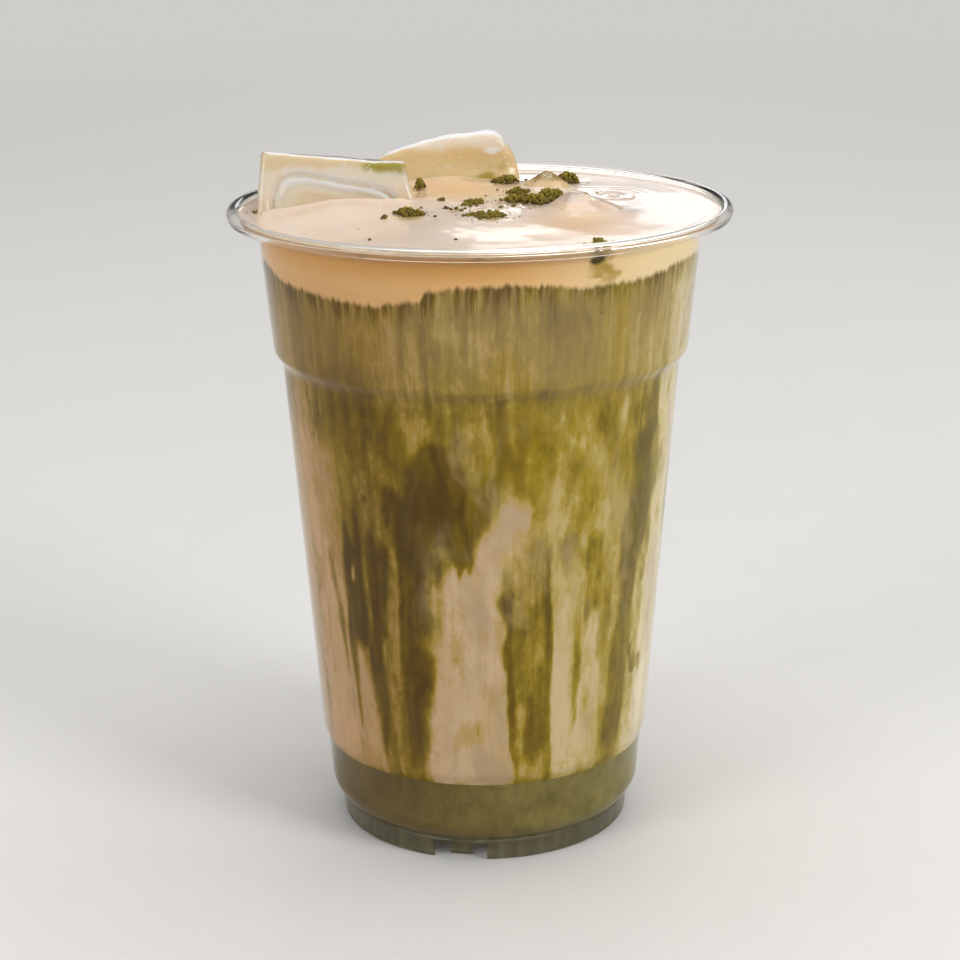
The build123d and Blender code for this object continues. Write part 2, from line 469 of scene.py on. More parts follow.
def make_lights():
    middle = (0, 0, 0.07)
    area_light("window", (0.105, 1.25, 0.385), middle, (0.22, 0.24), 0.32)
    area_light("softbox_top", (0.1, 0.3, 1.7), (0, 0.2, 0), (1.8, 1.8), 19.0)
    area_light("softbox_right", (0.8, -0.6, 0.5), middle, (0.4, 0.5), 5.5)
    area_light("softbox_left", (-0.85, -0.7, 0.45), middle, (0.5, 0.5), 4.0)
    world = bpy.data.worlds.new("studio")
    bpy.context.scene.world = world
    world.use_nodes = True
    background = world.node_tree.nodes["Background"]
    background.inputs["Color"].default_value = (0.86, 0.86, 0.86, 1.0)
    # dim as a light, and pale where it shows as the backdrop
    nodes = Nodes("studio", world.node_tree)
    nodes.put(background.inputs["Strength"], nodes.plus(0.25, backdrop_share(nodes), 0.47))


def make_floor():
    sides, floor_radius = 96, 9000
    turns = np.linspace(0, 2 * pi, sides, endpoint=False)
    points = np.stack([floor_radius * np.cos(turns), floor_radius * np.sin(turns), np.zeros(sides)], 1)
    floor = mesh_piece("floor", points, [range(sides)])
    nodes = Nodes("floor_paint")
    colour = nodes.blend(nodes.noise(evenly, 60, 4), (234, 232, 229), (238, 236, 233))
    lit = nodes.principled(colour, 0.85)
    # far from the lamps the floor stays as pale as it is near them
    distance = nodes.add("ShaderNodeVectorMath", {0: nodes.where()}, operation="LENGTH").outputs["Value"]
    far = nodes.times(backdrop_share(nodes), nodes.span(distance, 0.45, 1.5))
    pale = nodes.add("ShaderNodeEmission", {"Color": linear(207, 205, 201), "Strength": 1}).outputs[0]
    floor.data.materials.append(nodes.finish(nodes.mix_shaders(far, lit, pale)))


# ---- cup ----
def cup_material():
    """Clear plastic; the wall that the drink wets shines less than the lip.

    The foot ring, open underneath, is painted olive in vertical streaks: a painted reflection of the drink
    above it, seen down through the plastic."""
    nodes = Nodes("clear_plastic")
    scuff = nodes.noise(evenly, 2600, 2)
    height = nodes.plus(nodes.noise((1, 1, 0.15), 130), scuff, 0.05)
    rough = nodes.span(scuff, 0.35, 0.75, 0.02, 0.06)
    normal = nodes.bump(height, 0.2, 0.12)
    wetted = clear_shader(nodes, (0.985, 0.99, 0.98, 1.0), rough, 1.25, normal)
    # the lip's free plastic is tinted warm: a painted warm reflection
    free = clear_shader(nodes, (0.97, 0.94, 0.89, 1.0), rough, 1.42, normal)
    # vertical streaks of painted light in the foot's painted olive reflection
    streaks = nodes.noise((1, 1, 0.1), 420)
    painted_foot_reflection_colour = nodes.blend(nodes.span(streaks, 0.35, 0.65), (84, 78, 44), (114, 106, 68))
    foot = nodes.principled(painted_foot_reflection_colour, 0.25, 1.4)
    z = nodes.along(2)
    above = nodes.span(z, (neck_level - 1) * MM, (neck_level + 1.5) * MM)
    below = nodes.span(z, (foot_height + 1) * MM, foot_height * MM)
    plastic = nodes.mix_shaders(nodes.math("MAXIMUM", above, below), wetted, free)
    # how strongly the painted foot reflection covers the plastic near the floor
    painted_foot_share = nodes.times(below, nodes.span(streaks, 0.35, 0.7, 0.55, 0.40))
    return nodes.finish(nodes.mix_shaders(painted_foot_share, plastic, foot))


def cut(piece, cutters, operation):
    """Boolean operations with throw-away cutters, applied to the mesh."""
    for cutter in cutters:
        modifier = piece.modifiers.new("cut", "BOOLEAN")
        modifier.operation = operation
        modifier.object = cutter
        modifier.solver = "EXACT"
    graph = bpy.context.evaluated_depsgraph_get()
    made = bpy.data.meshes.new_from_object(piece.evaluated_get(graph))
    piece.modifiers.clear()
    old = piece.data
    piece.data = made
    bpy.data.meshes.remove(old)
    for cutter in cutters:
        bpy.data.objects.remove(cutter)


def block(name, size, centre, turn):
    """A box used only to cut or join."""
    corners = np.array([(x, y, z) for x in (-0.5, 0.5) for y in (-0.5, 0.5) for z in (-0.5, 0.5)]) * size
    spin = np.array([[cos(turn), -sin(turn), 0], [sin(turn), cos(turn), 0], [0, 0, 1]])
    faces = [(0, 1, 3, 2), (4, 6, 7, 5), (0, 4, 5, 1), (2, 3, 7, 6), (0, 2, 6, 4), (1, 5, 7, 3)]
    piece = mesh_piece(name, corners @ spin.T + centre, faces)
    face_outwards(piece)
    return piece


def make_cup():
    segments, smooth_angle, chamfer = 256, 35, 0.25
    under = (flare_end + wall / 2, flare_level - wall)
    edge_under = (rim_radius - wall, lip_edge_level - wall / 2)
    crest_under = (crest_radius, cup_height - wall)
    outline = np.concatenate([
        [(0.0, floor_underside), (foot_top_radius - foot_thickness - 0.4, floor_underside),
         (foot_top_radius - foot_thickness, floor_underside - 0.4)],
        [(foot_radius - foot_thickness, chamfer), (foot_radius - foot_thickness + chamfer, 0.0),
         (foot_radius - chamfer, 0.0), (foot_radius, chamfer)],
        wall_outline(0)[::-1],
        flare_outline((mouth_radius, neck_level), under)[1:],
        arc_through(under, crest_under, edge_under, 10)[1:],
        [(rim_radius - skirt_inset - wall, skirt_level + 0.1),
         (rim_radius - skirt_inset - wall / 2, skirt_level),
         (rim_radius - skirt_inset, skirt_level + 0.1)],
        [(rim_radius, lip_edge_level - 0.05)],
        arc_through((flare_end, flare_level), (crest_radius, cup_height), (rim_radius, lip_edge_level),
                    16)[::-1],
        flare_outline((mouth_radius - wall, neck_level), (flare_end, flare_level))[::-1][1:],
        wall_outline(wall)[1:],
        [(0.0, foot_height)]])
    rings = outline[1:-1]
    points = np.concatenate([ring_points(rings[:, 0], rings[:, 1], segments),
                             [(0, 0, outline[0, 1]), (0, 0, outline[-1, 1])]])
    faces = ring_faces(len(rings), segments)
    faces += fan(0, len(points) - 2, segments, False)
    faces += fan((len(rings) - 1) * segments, len(points) - 1, segments, True)
    cup = mesh_piece("cup_shell", points, faces, smooth_angle)
    face_outwards(cup)
    notches, lugs = [], []
    lug_top = floor_underside + 0.1
    lug_radius = foot_radius - foot_thickness - lug_clearance - lug_thickness / 2
    for number in range(notch_count):
        azimuth = radians(notch_azimuth + number * 360 / notch_count)
        out = np.array([sin(azimuth), -cos(azimuth), 0])
        notches.append(block("notch", (notch_width, 4 * foot_thickness, 2 * notch_height),
                             out * (foot_radius - foot_thickness / 2), azimuth))
        lugs.append(block("lug", (lug_width, lug_thickness, lug_top - lug_clearance),
                          out * lug_radius + (0, 0, (lug_top + lug_clearance) / 2), azimuth))
    cut(cup, notches, "DIFFERENCE")
    cut(cup, lugs, "UNION")
    cup.data.shade_smooth()
    cup.data.set_sharp_from_angle(angle=radians(smooth_angle))
    cup.data.materials.clear()
    cup.data.materials.append(cup_material())
    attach(cup, "root")
    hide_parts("cup")


# ---- drink: where it is ----
# lower edge of the cream: azimuth, level
cream_edge = [(-180, 112.6), (-150, 111.2), (-120, 112.9), (-95, 113.6), (-74, 113.7), (-62, 111.6),
              (-48, 110.9), (-27, 110.2), (-20, 111.2), (-15, 111.7), (-13, 113.7), (-5, 114.3),
              (7, 114.7), (19, 114.1), (27, 113.3), (45, 113.4), (60, 114.4), (72, 114.6),
              (95, 113.0), (125, 111.4), (155, 113.1), (180, 112.6)]
# soft swells of the cream's surface: x, y, height, spread
cream_swells = [(-26, -8, 1.5, 8), (-10, -1, 0.6, 7), (-6, 21, 1.6, 8),
                (18.5, -13, 1.1, 10), (12, 13, 1.2, 6.5), (10, 34, 1, 9),
                (28, 16, 0.5, 9), (-20, 22, 0.8, 8), (29, 33, 0.8, 4),
                (-33, -14, 0.4, 5), (2, -26, -0.3, 9), (33, -6, -0.3, 8)]
ripple_centre = (25.5, 6.5)
# corners of ice: peak, level of the foot, reach to the right, back, left and front
right_corner = (17.0, -11.5, 125.8), 119.3, (16.5, 10.0, 9.0, 13.0)
centre_corner = (13.0, 11.6, 125.8), 119.6, (9.0, 8.0, 9.0, 8.0)
cling = 0.5


def cream_edge_at(azimuths):
    places = np.array(cream_edge)
    return np.interp(azimuths, places[:, 0], places[:, 1])


def tent_reach(turns, spans):
    """How far a tent's flank reaches in a direction; spans gives right, back, left and front."""
    right, back, left, front = spans
    across = np.cos(turns) / np.where(np.cos(turns) > 0, right, left)
    deep = np.sin(turns) / np.where(np.sin(turns) > 0, back, front)
    return 1 / np.hypot(across, deep)


def tent_level(share, peak, foot):
    """Level of a tent's flank, from its rounded peak at share 0 to its foot at share 1."""
    rounding = 0.075
    soft = (np.sqrt(share ** 2 + rounding) - sqrt(rounding)) / (sqrt(1 + rounding) - sqrt(rounding))
    return peak[2] - (peak[2] - foot) * soft ** 0.92


def cream_surface(x, y):
    """Level of the cream's open surface, with its ripples and the curl where it meets the wall."""
    out = np.hypot(x, y) / flare_end
    level = cream_edge_level + cream_dome * (1 - out ** 2)
    for centre_x, centre_y, height, spread in cream_swells:
        swell = hill(x, centre_x, spread, y, centre_y, spread)
        level = level + height * swell * (1 - np.minimum(out, 1) ** 4)
    place = np.stack([x, y, np.zeros_like(x)], 1)
    ring = np.hypot(x - ripple_centre[0], (y - ripple_centre[1]) * 0.8)
    crooked = ring + 1.5 * fractal(place / 4.5, 3, 17)
    level = level + 0.15 * np.cos(2 * pi * crooked / 3.2) * np.exp(-(ring / 6.5) ** 2)
    calm = smooth((0.97 - out) / 0.1)
    level = level + 0.13 * calm * fractal(place / 10.0, 3, 11)
    level = level + 0.13 * calm * hill(x, 3, 13, y, -4, 9) * fractal(place / 1.9 * (1, 2.2, 1), 3, 23)
    curl = np.exp(-(flare_end - 1.7 - np.hypot(x, y)) / 0.6)
    level = level + 0.25 * np.minimum(curl, 1)
    # the cream creeps up the front of the large block on the left
    in_front = 0.09 * (x + 26.0) - 3.5 - y
    along = smooth((x + 42) / 3) * smooth((-12 - x) / 3)
    level = level + 0.8 * along * np.exp(-np.abs(in_front) / 1.2)
    # and it clings to the foot of each small corner of ice
    for peak, foot, spans in (right_corner, centre_corner):
        turns = np.arctan2(y - peak[1], x - peak[0])
        share = np.hypot(x - peak[0], y - peak[1]) / tent_reach(turns, spans)
        above = tent_level(share, peak, foot) - level
        level = level + cling * np.log1p(np.exp(np.minimum(above / cling, 30)))
        level = level - 0.35 * smooth(above / 1.6)
    return level


# ---- drink: marbling ----
# Brush strokes of matcha in the milk, from top to bottom: azimuth at the top and at the bottom,
# level of the top and of the bottom, half width at the top and at the bottom, how much matcha
# (0 milk, 1 dark), how strongly it covers, and how soft its edge is.
strokes = [
    # upper band, above the shoulder
    (-46, -45, 112, 78, 9, 8, 0.66, 0.75, 6),
    (-40, -38, 100, 82, 5, 5, 0.8, 0.6, 5),
    (-72, -70, 112, 84, 4.5, 5, 0.34, 0.7, 5),
    (-24, -24, 112, 92, 1.6, 2, 0.3, 0.55, 2.5),
    (-14, -12, 110, 96, 6, 6, 0.4, 0.5, 5),
    (2, 2, 108, 94, 5, 5, 0.36, 0.5, 4),
    (33, 35, 113, 88, 2.4, 2.4, 0.6, 0.65, 2.5),
    (24, 27.5, 114, 105, 0.3, 0.7, 0.86, 0.85, 0.6),
    (40.5, 41, 104, 90, 0.9, 1, 0.62, 0.6, 1.2),
    (47, 47, 108, 94, 3, 3, 0.3, 0.6, 3),
    (68, 68, 114, 76, 6, 6, 0.24, 0.8, 4),
    (59, 58, 101, 86, 1.2, 1.6, 0.58, 0.65, 1.8),
    # under the shoulder
    (-63, -64, 92, 82, 3.5, 3, 0.28, 0.6, 3.5),
    (-28, -25, 91, 80, 2, 3, 0.76, 0.8, 1.8),
    (-17, -17, 90, 83.5, 3.6, 2, 0.34, 0.7, 2.2),
    (-10, -9, 83, 58, 7.5, 3.5, 0.76, 0.9, 3),
    (-17, -19, 83, 66, 3, 3.4, 0.9, 0.8, 2.5),
    (-24, -23, 76, 66, 3.4, 3.6, 0.94, 0.9, 1.8),
    (-7, -7, 90, 80, 1.2, 1.4, 0.62, 0.65, 1.2),
    (-1, 0, 92, 82, 0.8, 0.8, 0.4, 0.7, 1),
    (4, 6, 93, 79, 1.6, 3, 0.74, 0.8, 2),
    (14, 16, 96, 85, 1.8, 3, 0.74, 0.8, 1.8),
    (21, 21, 92, 79, 3.6, 4, 0.44, 0.65, 3.5),
    (30, 29, 92, 80, 1.8, 3, 0.36, 0.6, 2.5),
    (43, 43, 92, 84, 1.8, 1.2, 0.24, 0.75, 1.5),
    (48, 49, 90, 85, 0.8, 1, 0.8, 0.85, 0.8),
    (40, 40, 82, 62, 4, 4, 0.5, 0.8, 3.5),
    (24, 24, 78, 58, 3, 2, 0.42, 0.7, 3),
    (17, 16, 78, 60, 3, 3, 0.44, 0.7, 3),
    (-57, -57, 84, 62, 5, 6, 0.28, 0.75, 4.5),
    (-37, -38, 84, 66, 4, 4, 0.52, 0.6, 4),
    (23, 20, 88, 66, 1, 2.2, 0.22, 0.55, 2.2),
    (13, 15, 76, 60, 2.2, 1.4, 0.24, 0.6, 2),
    (28, 26, 76, 62, 0.9, 1.2, 0.24, 0.6, 1.4),
    (8, 9, 84, 74, 1.6, 2.4, 0.34, 0.55, 2),
    (33, 31, 70, 56, 1, 0.8, 0.28, 0.5, 1.2),
    # milk
    (-68, -66, 84, 17, 9, 8.5, 0.08, 0.9, 4),
    (-66, -64, 86, 62, 7, 4, 0.24, 0.6, 6),
    (-55, -47, 60, 17, 3, 8, 0.05, 0.9, 2.5),
    (8, 4, 76, 57, 2, 5, 0.08, 0.88, 2.5),
    (-5, -4, 64, 17, 4.5, 7.8, 0.04, 0.95, 1.6),
    (25, 25, 52, 17, 1.4, 2.4, 0.06, 0.9, 1),
    (36, 37, 47, 17, 1.6, 4.6, 0.06, 0.9, 1.4),
    (67, 66, 76, 17, 4, 4.4, 0.14, 0.9, 2.2),
    # left streaks
    (-46, -46, 81, 77.5, 0.9, 0.8, 0.62, 0.8, 0.9),
    (-41.5, -40.5, 78, 68, 0.8, 0.6, 0.62, 0.8, 0.8),
    (-47, -47, 77, 71, 1.4, 1.4, 0.42, 0.6, 1.2),
    (-36, -36, 74.4, 72.4, 0.7, 0.6, 0.9, 0.95, 0.5),
    (-54.5, -50, 61, 35, 1.1, 0.5, 0.58, 0.75, 0.9),
    (-44, -43, 64, 43, 2.6, 3.2, 0.86, 0.95, 1.4),
    (-47, -46, 67, 61, 0.5, 1.2, 0.8, 0.9, 0.5),
    (-40.5, -41, 70, 61, 0.5, 1.5, 0.82, 0.9, 0.6),
    (-34, -34, 65, 43, 2.5, 2, 0.88, 0.95, 1.5),
    (-44.5, -44, 58, 53, 0.3, 0.7, 0.1, 0.85, 0.6),
    (-47, -43.5, 46, 24, 1.4, 0.6, 0.74, 0.85, 0.7),
    (-42, -40, 43, 17, 0.7, 2.6, 0.1, 0.88, 0.8),
    (-36.5, -33, 46, 19, 1.7, 1.2, 0.8, 0.88, 1.2),
    (-29.5, -30, 62, 19, 1, 1.7, 0.52, 0.8, 1),
    (-22, -23, 68, 19, 3.1, 2.3, 0.88, 0.95, 1.5),
    (-17.6, -19.5, 64, 22, 1, 1.2, 0.66, 0.6, 1.8),
    (-26, -27, 40, 18, 1.5, 2, 0.62, 0.6, 1.5),
    # fingers hanging into the milk
    (-14, -12, 68, 60, 1.6, 0.5, 0.5, 0.75, 1.2),
    (-8, -8.5, 68, 57.5, 1.3, 0.4, 0.68, 0.85, 0.8),
    (-3.5, -4, 68, 61, 1, 0.4, 0.58, 0.8, 0.8),
    (-9, -7, 60, 40, 2, 1.5, 0.2, 0.6, 2),
    # middle right streak with its darker rims
    (12, 15.5, 62, 19, 4.6, 3.4, 0.5, 0.93, 0.9),
    (5, 10.5, 57, 20, 0.8, 0.8, 0.72, 0.85, 0.8),
    (20.5, 20.5, 62, 19, 0.8, 0.9, 0.8, 0.85, 0.8),
    (18.5, 16.5, 42, 22, 1.2, 2.8, 0.76, 0.8, 1.4),
    (10, 12, 50, 34, 1.2, 1.4, 0.62, 0.6, 1.2),
    # right streaks
    (29.5, 30, 66, 50, 1.8, 1.2, 0.7, 0.85, 1.3),
    (31.5, 31, 54, 27, 0.8, 0.5, 0.6, 0.85, 0.6),
    (36, 37, 64, 47, 2.4, 1.6, 0.8, 0.88, 1.4),
    (41, 41, 60, 38, 1.6, 1, 0.58, 0.8, 1.5),
    (43, 44, 44, 18, 1, 1.4, 0.36, 0.7, 1.4),
    (56, 48, 93, 17, 3.2, 2.6, 0.74, 0.94, 1.6),
    (53.5, 50, 86, 55, 1.2, 1.2, 0.86, 0.7, 1.4),
    (51, 48.5, 60, 22, 1.2, 1.2, 0.84, 0.6, 1.2),
    (60, 57, 84, 18, 1.6, 1.6, 0.48, 0.8, 1.4),
    (57, 63, 39.4, 34, 3.4, 1, 0.74, 0.92, 0.6),
    (55, 63, 39.4, 37.6, 3, 1.5, 0.7, 0.92, 0.6),
]
hidden_strokes = 46          # more strokes like these on the side that faces away


def all_strokes():
    random = np.random.default_rng(5)
    made = []
    for number in range(hidden_strokes):
        azimuth = 84 + 192 * (number + random.random()) / hidden_strokes
        top = random.uniform(50, 112)
        bottom = max(17.0, top - random.uniform(18, 60))
        amount = random.choice([0.05, 0.12, 0.5, 0.7, 0.85, 0.95])
        made.append((azimuth, azimuth + random.uniform(-5, 5), top, bottom, random.uniform(1.0, 5.0),
                     random.uniform(0.8, 4.0), amount, random.uniform(0.7, 0.95), random.uniform(1.0, 3.5)))
    return made + strokes


def cloudy_at(azimuths, levels):
    """Where the milk swirls through the matcha like smoke rather than hanging in streaks."""
    turned_left = smooth((azimuths + 26) / 14) + (azimuths < -75)
    return smooth((levels - 42) / 14) * smooth((93 - levels) / 10) * np.minimum(turned_left, 1)


def matcha_at(azimuths, levels):
    """How much matcha shows at places on the wall, painted with the strokes."""
    radius = inside_radius(levels)
    flow = round_axis(radius, azimuths, levels * 0.16)
    ragged = round_axis(radius, azimuths, levels * 0.5)
    cloudy = cloudy_at(azimuths, levels)
    warp = np.stack([fractal(ragged / 8.0, 3, 61), fractal(ragged / 8.0, 3, 67), np.zeros(len(levels))], 1)
    shifted_az = azimuths + 1.8 * fractal(ragged / 5.0, 4, 31) + fractal(flow / 1.3, 2, 37)
    shifted_az += 6.0 * cloudy * warp[:, 0]
    shifted_z = levels + 4.2 * fractal(flow / 1.8, 3, 41) + 1.8 * fractal(ragged / 3.0, 3, 43)
    shifted_z += 7.0 * cloudy * warp[:, 1]
    base = np.interp(levels, [17, 30, 58, 66, 88, 98, 114], [0.22, 0.24, 0.30, 0.52, 0.56, 0.50, 0.55])
    amount = base + 0.07 * fractal(flow / 3.0, 3, 47)
    for az_top, az_low, top, low, half_top, half_low, much, cover, soft in all_strokes():
        along = np.clip((top - shifted_z) / (top - low), 0, 1)
        centre = mix(az_top, az_low, along)
        half = mix(half_top, half_low, along)
        aside = (shifted_az - centre + 180) % 360 - 180
        across = np.abs(np.radians(aside)) * radius
        inside_it = smooth((half - across) / soft + 0.5)
        end = min(2.5 + soft, (top - low) / 2)
        inside_it *= smooth((top - shifted_z) / end + 0.3)
        inside_it *= smooth((shifted_z - low) / end + 0.3) if low > 20 else 1.0
        amount = mix(amount, much, inside_it * cover)
    wisps = fractal(ragged / 4.0 + 1.3 * warp, 4, 71)
    amount += 0.34 * np.maximum(0, fractal(ragged / 4.5 + 1.2 * warp, 4, 79))
    amount += (0.10 + 0.26 * cloudy) * wisps + 0.10 * fractal(ragged / 2.0 + 1.5 * warp, 3, 73)
    # the strokes thin out in ragged ends above the layer at the bottom, and a thin darker olive band is
    # painted along it, painted shade of the cup's step there
    height = levels - base_layer_top
    thinned = 1 - smooth((height - 1.0 - 5.0 * fractal(flow / 1.5, 3, 83)) / 7.0)
    amount -= 0.55 * thinned * np.maximum(0, amount - 0.25)
    amount += 0.30 * np.exp(-(height / 0.8) ** 2) * (0.7 + 0.6 * fractal(flow / 2.0, 2, 89))
    return np.clip(amount, 0, 1)


# ---- drink: pieces ----
def cap(points, faces, ring_start, rings, level_of, upwards):
    """Closes a ring of points with smaller rings and a centre point; level_of gives their level.

    It returns all the points, and adds its faces to the list of faces."""
    outer = points[ring_start:ring_start + around]
    made = [points]
    before = ring_start
    count = len(points)
    for ring in range(1, rings):
        share = 1 - ring / rings
        x, y = outer[:, 0] * share, outer[:, 1] * share
        made.append(np.stack([x, y, level_of(x, y, share, outer[:, 2])], 1))
        faces.extend(quad if upwards else quad[::-1] for quad in band(before, count, around))
        before = count
        count += around
    zero = np.zeros(1)
    made.append(np.array([[0, 0, float(level_of(zero, zero, 0.0, outer[:1, 2])[0])]]))
    faces.extend(fan(before, count, around, upwards))
    return np.concatenate(made)


def flat_cap(x, y, share, rim):
    return np.full(x.shape, rim.mean())


def eased_cap(x, y, share, rim):
    return mix(rim.mean(), rim, share ** 2)


def cream_cap(x, y, share, rim):
    return cream_surface(x, y)


def drink_piece(name, rows, low_levels, high_levels, top_rings, top_level, low_level, sink=0.0):
    """A closed piece of the drink, with all its points and the azimuths and levels on the wall.

    It has rows of points between the low and the high levels, and sink lowers its bottom edge."""
    azimuths = np.tile(wall_azimuths, rows)
    low_levels, high_levels = (np.full(around, levels, float) for levels in (low_levels, high_levels))
    levels = np.concatenate([mix(low_levels, high_levels, share) for share in np.linspace(0, 1, rows)])
    points = round_axis(inside_radius(levels) + reach, azimuths, levels)
    points[:around, 2] -= sink
    faces = ring_faces(rows, around)
    points = cap(points, faces, (rows - 1) * around, top_rings, top_level, True)
    points = cap(points, faces, 0, 4, low_level, False)
    piece = mesh_piece(name, points, faces, 60)
    face_outwards(piece)
    return piece, points, azimuths, levels


def run_stain(azimuths, levels):
    """How strongly the wall is stained where powder has run down from the lip."""
    place = np.stack([azimuths / 3, np.zeros_like(levels), levels], 1)
    return hill(azimuths + 4.5 * fractal(place / 1.6, 3, 95), 31.5, 4.0, levels, 116.3, 3.0)


def make_latte():
    top = cream_edge_at(wall_azimuths) + (feathered + overlap)
    latte, points, azimuths, levels = drink_piece("marbled_latte", 205, base_layer_top, top, 4,
                                                  eased_cap, flat_cap)
    below = cream_edge_at(azimuths) - levels
    comb = round_axis(flow_radius, azimuths, levels * 0.02)
    length = 3.2 + 3.4 * fractal(comb / 1.4, 2, 53)
    set_attribute(latte, "matcha", matcha_at(azimuths, levels), 0.5)
    set_attribute(latte, "stain", run_stain(azimuths, levels))
    set_attribute(latte, "fringe", np.exp(-np.maximum(below, 0) / np.maximum(length, 0.6)))
    set_attribute(latte, "cloudy", cloudy_at(azimuths, levels))
    set_attribute(latte, "below", below, 5.0)
    set_attribute(latte, "aside", np.sin(np.radians(azimuths)))
    set_attribute(latte, "muted", smooth((levels - 88) / 12))
    set_attribute(latte, "streaky", 0.30 + 0.70 * smooth((levels - 86) / 14))
    flow = np.zeros((len(points), 3), np.float32)
    flow[:len(levels)] = round_axis(flow_radius, azimuths, levels * 0.07) * MM
    latte.data.attributes.new("flow", "FLOAT_VECTOR", "POINT").data.foreach_set("vector", flow.ravel())
    latte.data.materials.append(latte_material())
    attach(latte, "root")
    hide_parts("latte")


# colours for milk and then more and more matcha; partly the drink's own colour and partly painted light:
# warmer and darker on the left, painted warm shade, and paler on the right and palest far to the right,
# painted light
matcha_stops = (0.0, 0.2, 0.37, 0.52, 0.67, 0.82, 1.0)
middle_colours = [(188, 162, 130), (170, 145, 92), (156, 131, 55), (132, 110, 26), (116, 95, 14),
                  (98, 75, 9), (78, 57, 6)]
left_tint_and_shade_colours = [(190, 153, 110), (167, 132, 79), (155, 122, 56), (131, 105, 29), (116, 91, 18),
                (99, 75, 12), (80, 58, 9)]
right_tint_and_light_colours = [(190, 170, 132), (174, 154, 93), (156, 136, 56), (147, 126, 33), (134, 114, 28),
                 (116, 98, 18), (95, 79, 11)]
far_right_tint_and_light_colours = [(219, 207, 176), (205, 190, 147), (186, 172, 112), (168, 151, 78), (146, 128, 48),
               (121, 104, 28), (101, 85, 18)]


def latte_colours(nodes, amount, aside):
    """Colour of milk with that much matcha, that far aside; the side colours carry painted shade on the left
    and painted light on the right.
    """
    middle, left, right, rim = (nodes.ramp(amount, list(zip(matcha_stops, colours))) for colours in
                                (middle_colours, left_tint_and_shade_colours, right_tint_and_light_colours, far_right_tint_and_light_colours))
    colour = nodes.blend(nodes.span(aside, -0.12, -0.62), middle, left)
    colour = nodes.blend(nodes.span(aside, 0.10, 0.50), colour, right)
    return nodes.blend(nodes.span(aside, 0.72, 0.92), colour, rim)


def matcha_share(nodes, flow, threads, wisps, fringe):
    """The painted amount of matcha, broken up by threads, wisps and grain."""
    fine = nodes.times(nodes.math("SUBTRACT", threads, 0.5), nodes.attribute("streaky"))
    amount = nodes.plus(nodes.attribute("matcha"), fine, 0.62)
    amount = nodes.plus(amount, fringe, 0.36)
    amount = nodes.vary(amount, nodes.noise(flow, 330, 3, 0.55, 0.4), 0.52)
    amount = nodes.vary(amount, wisps, 0.42)
    amount = nodes.vary(amount, nodes.noise((1, 1, 0.6), 1300, 3, 0.6), 0.30)
    amount = nodes.vary(amount, nodes.noise((1, 1, 0.7), 480, 4, 0.62), 0.36)
    crisp = nodes.span(amount, 0.08, 0.92)
    return nodes.math("ADD", nodes.times(crisp, 0.55), nodes.times(amount, 0.45))


def latte_material():
    nodes = Nodes("latte")
    flow = nodes.add("ShaderNodeAttribute", attribute_name="flow").outputs["Vector"]
    threads = nodes.noise(flow, 1050, 4, 0.6)
    wisps = nodes.noise((1, 1, 0.26), 300, 5, 0.62, 0.9)
    wide = nodes.noise((1, 1, 0.4), 95, 3, 0.5, 0.8)
    strands = nodes.span(nodes.noise(flow, 900, 4, 0.6), 0.36, 0.60)
    fringe = nodes.times(nodes.attribute("fringe"), strands)
    matcha = matcha_share(nodes, flow, threads, wisps, fringe)
    aside = nodes.attribute("aside")
    colour = latte_colours(nodes, matcha, aside)
    # greyer and milkier above the shoulder, with yellower and browner patches everywhere
    # its left end is warmer: painted warm shade, as in the side colours
    greyer = nodes.blend(nodes.span(aside, -0.12, -0.62), (160, 138, 100), (156, 126, 74))
    colour = nodes.paint(colour, nodes.blend(0.5, colour, greyer), nodes.attribute("muted"),
                         nodes.span(wide, 0.2, 0.8, 1, 0.55), nodes.span(fringe, 0.1, 0.6, 1, 0.2))
    colour = nodes.paint(colour, (152, 130, 12), nodes.span(wide, 0.52, 0.70, 0, 0.30),
                         nodes.span(matcha, 0.2, 0.45))
    colour = nodes.paint(colour, (104, 82, 42), nodes.span(wide, 0.46, 0.30, 0, 0.25),
                         nodes.span(matcha, 0.15, 0.4))
    # thin veils of milk in front of the matcha
    smoke = nodes.noise((1, 1, 0.42), 140, 4, 0.58, 0.35)
    colour = nodes.paint(colour, (188, 167, 122), nodes.span(smoke, 0.46, 0.72, 0, 0.42),
                         nodes.attribute("cloudy"))
    # patches in the milk: creamier ones, then shaded ones
    creamier = nodes.noise((1, 1, 0.3), 120, 4, 0.6, 0.2)
    colour = nodes.paint(colour, (168, 142, 86), nodes.span(creamier, 0.44, 0.66),
                         nodes.span(matcha, 0.25, 0.08), 0.40)
    shade = nodes.noise((1, 1, 0.42), 100, 4, 0.6, 0.3)
    colour = nodes.paint(colour, (154, 130, 102), nodes.span(shade, 0.47, 0.64),
                         nodes.span(matcha, 0.26, 0.06), 0.5)
    chosen = nodes.math("GREATER_THAN", nodes.noise(evenly, 90, 0), 0.60)
    colour = nodes.paint(colour, (84, 60, 26), nodes.span(nodes.cells(210), 0.055, 0.035), chosen, 0.7)
    # feathery upper end, where the cream hangs into the latte
    combed = nodes.vary(nodes.attribute("below"), threads, 2.4)
    colour = nodes.blend(nodes.span(combed, 0.6, -0.6), colour, cream_side_colour(nodes))
    colour = nodes.paint(colour, (150, 122, 24), nodes.ragged("stain", wisps, 0.9, 0.25, 0.95, 0.8))
    return nodes.finish(nodes.principled(colour, 0.45, 1.12, Normal=nodes.bump(matcha, 0.08, 0.1)))


